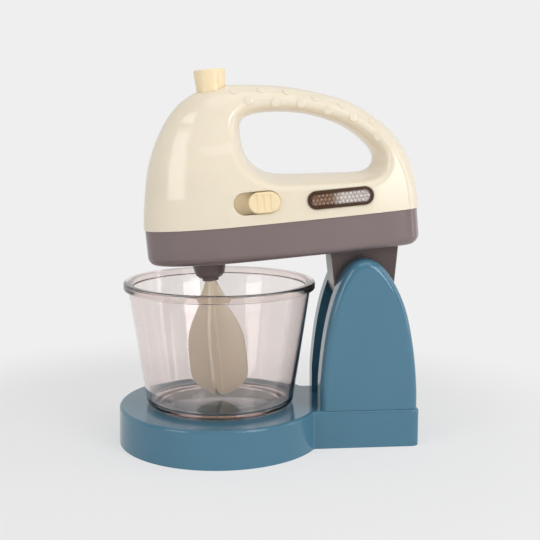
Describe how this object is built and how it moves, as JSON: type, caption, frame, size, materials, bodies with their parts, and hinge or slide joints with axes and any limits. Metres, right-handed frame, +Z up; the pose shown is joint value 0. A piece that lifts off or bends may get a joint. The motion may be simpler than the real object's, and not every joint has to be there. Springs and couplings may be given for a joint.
{
  "type": "toy stand mixer",
  "caption": "Toy hand mixer with a looped handle on a tilting bracket, over a clear bowl on a round base; the beater, button, switch, bowl and head move.",
  "frame": {"origin": "on the table under the middle of the round base and bowl", "axes": "+Z up, -X towards the mixer's nose, -Y the side with the switch and the light"},
  "size_m": [0.1559, 0.106, 0.1914],
  "materials": {
    "blue_plastic": "glossy blue-grey ABS",
    "cream_plastic": "glossy cream ABS",
    "yellow_plastic": "glossy pale yellow ABS",
    "taupe_plastic": "glossy taupe ABS",
    "dark_taupe_plastic": "satin dark taupe acetal",
    "beige_plastic": "satin beige nylon",
    "brown_plastic": "glossy dark brown ABS",
    "clear_smoky_plastic": "clear polystyrene with a smoky pink tint",
    "clear_lens_plastic": "clear polystyrene",
    "nylon": "natural acetal",
    "black_plastic": "matte",
    "circuit_board": "solder mask green",
    "steel": "zinc-plated",
    "motor_steel": "drawn can",
    "brass": "turned",
    "cell_jacket": "plain printed jacket"
  },
  "bodies": {
    "base": {"base_shell": "blue_plastic", "base_cover": "blue_plastic", "near_upright": "blue_plastic", "far_upright": "blue_plastic", "hinge_pin": "steel", "upright_screws": "steel", "base_cover_screws": "steel"},
    "tilt_arm": {"hinge_bracket": "taupe_plastic"},
    "mixer_head": {"near_casing": "cream_plastic", "far_casing": "cream_plastic", "lower_tray": "taupe_plastic", "battery_cover": "taupe_plastic", "battery_cover_screw": "steel", "near_cell": "cell_jacket", "far_cell": "cell_jacket", "front_contacts": "steel", "rear_contact": "steel", "spindle_collar": "dark_taupe_plastic", "compound_axle": "steel", "motor": "motor_steel", "gear_plate": "nylon", "gear_plate_screws": "steel", "button_board": "circuit_board", "button_spring": "steel", "slide_switch": "black_plastic", "light_bezel": "brown_plastic", "light_lens": "clear_lens_plastic", "lamp": "clear_lens_plastic", "lamp_board": "circuit_board", "casing_screws": "steel", "tray_screws": "steel"},
    "button": {"top_button": "yellow_plastic"},
    "switch_knob": {"speed_switch": "yellow_plastic"},
    "beater_drive": {"spindle": "dark_taupe_plastic", "spindle_gear": "nylon", "beater": "beige_plastic"},
    "compound": {"compound_gear": "nylon"},
    "motor_rotor": {"motor_pinion": "brass", "motor_shaft": "steel"},
    "bowl": {"bowl": "clear_smoky_plastic"}
  },
  "joints": [
    {"name": "head_tilt", "type": "hinge", "parent": "base", "child": "tilt_arm", "pos_m": [0.072, 0, 0.084], "axis": [0, 1, 0], "range_deg": [0, 55]},
    {"name": "head_lift", "type": "slide", "parent": "tilt_arm", "child": "mixer_head", "axis": [-0.0872, 0, 0.9962], "range_m": [0, 0.065]},
    {"name": "button_press", "type": "slide", "parent": "mixer_head", "child": "button", "axis": [0.0872, 0, -0.9962], "range_m": [0, 0.003], "stiffness_N_per_m": 400, "springref_m": -0.001, "deforming": ["button_spring"]},
    {"name": "switch_slide", "type": "slide", "parent": "mixer_head", "child": "switch_knob", "axis": [-0.9962, 0, -0.0872], "range_m": [0, 0.0068]},
    {"name": "beater_spin", "type": "hinge", "parent": "mixer_head", "child": "beater_drive", "pos_m": [-0.00575, 0, 0.09727], "axis": [-0.0872, 0, 0.9962], "continuous": true},
    {"name": "compound_spin", "type": "hinge", "parent": "mixer_head", "child": "compound", "pos_m": [0.00498, 0, 0.11227], "axis": [-0.0872, 0, 0.9962], "continuous": true},
    {"name": "motor_spin", "type": "hinge", "parent": "mixer_head", "child": "motor_rotor", "pos_m": [-0.00723, 0, 0.11421], "axis": [-0.0872, 0, 0.9962], "continuous": true},
    {"name": "bowl_turn", "type": "hinge", "parent": "base", "child": "bowl", "pos_m": [0, 0, 0.0196], "axis": [0, 0, 1], "continuous": true}
  ],
  "couplings": [
    {"joint": "compound_spin", "follows": "beater_spin", "ratio": -3},
    {"joint": "motor_spin", "follows": "beater_spin", "ratio": 9}
  ]
}
